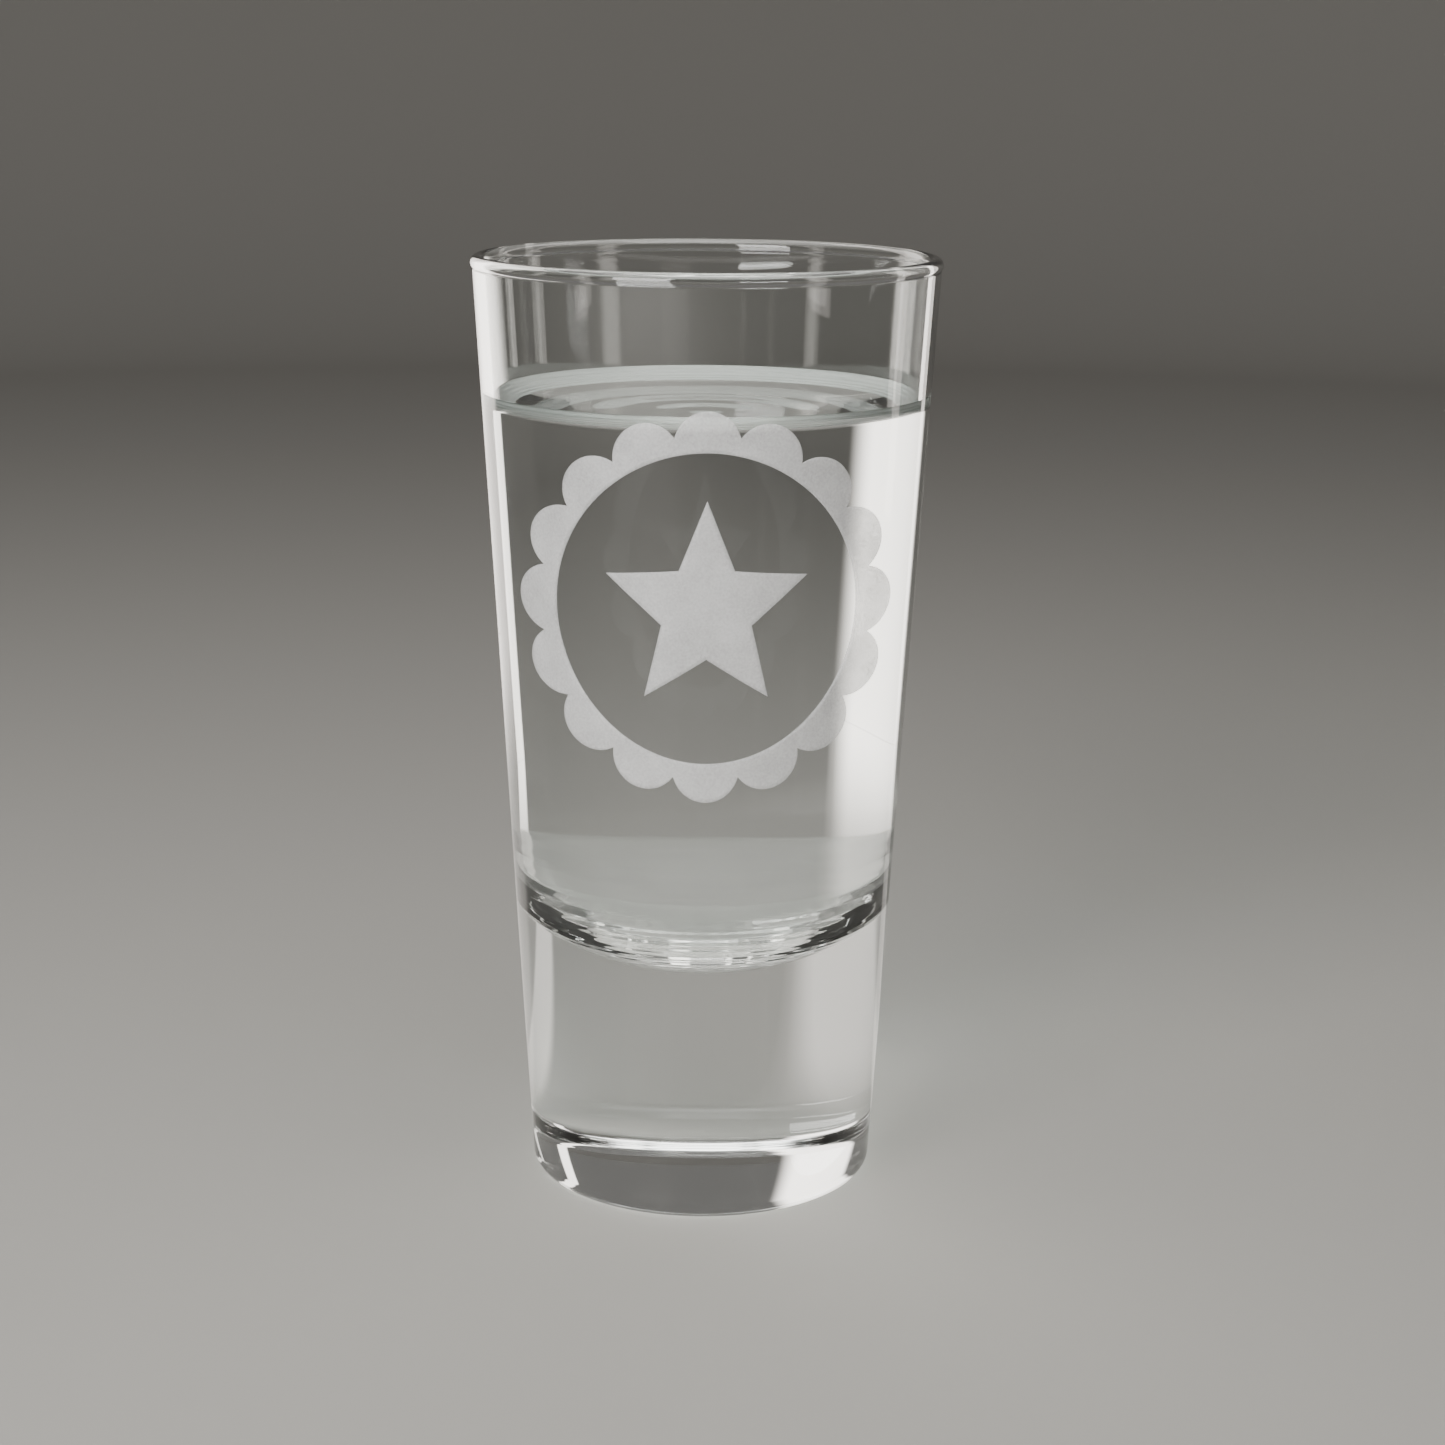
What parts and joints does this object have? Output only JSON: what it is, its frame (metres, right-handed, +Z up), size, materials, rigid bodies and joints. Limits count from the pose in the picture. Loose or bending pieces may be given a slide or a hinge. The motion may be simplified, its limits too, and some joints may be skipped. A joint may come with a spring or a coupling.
{
  "type": "shot glass",
  "caption": "Tall tapered shot glass with a heavy solid base and a round rim, filled with clear drink, with a frosted scalloped ring and star on its front.",
  "frame": {"origin": "centre of the foot, on the surface that the glass stands on", "axes": "+Z up the glass's axis of revolution; -Y is the front, where the print is; +X is to the right seen from the front"},
  "size_m": [0.0444, 0.0444, 0.09],
  "materials": {
    "clear_glass": "clear pressed soda-lime glass, fire polished, faint green tint where it is thick",
    "clear_liquid": "colourless still liquid with a raised edge at the wall",
    "frosted_print": "matt translucent white, like etched glass"
  },
  "bodies": {
    "root": {"glass_body": "clear_glass", "drink": "clear_liquid", "emblem_ring": "frosted_print", "emblem_star": "frosted_print"}
  },
  "joints": []
}
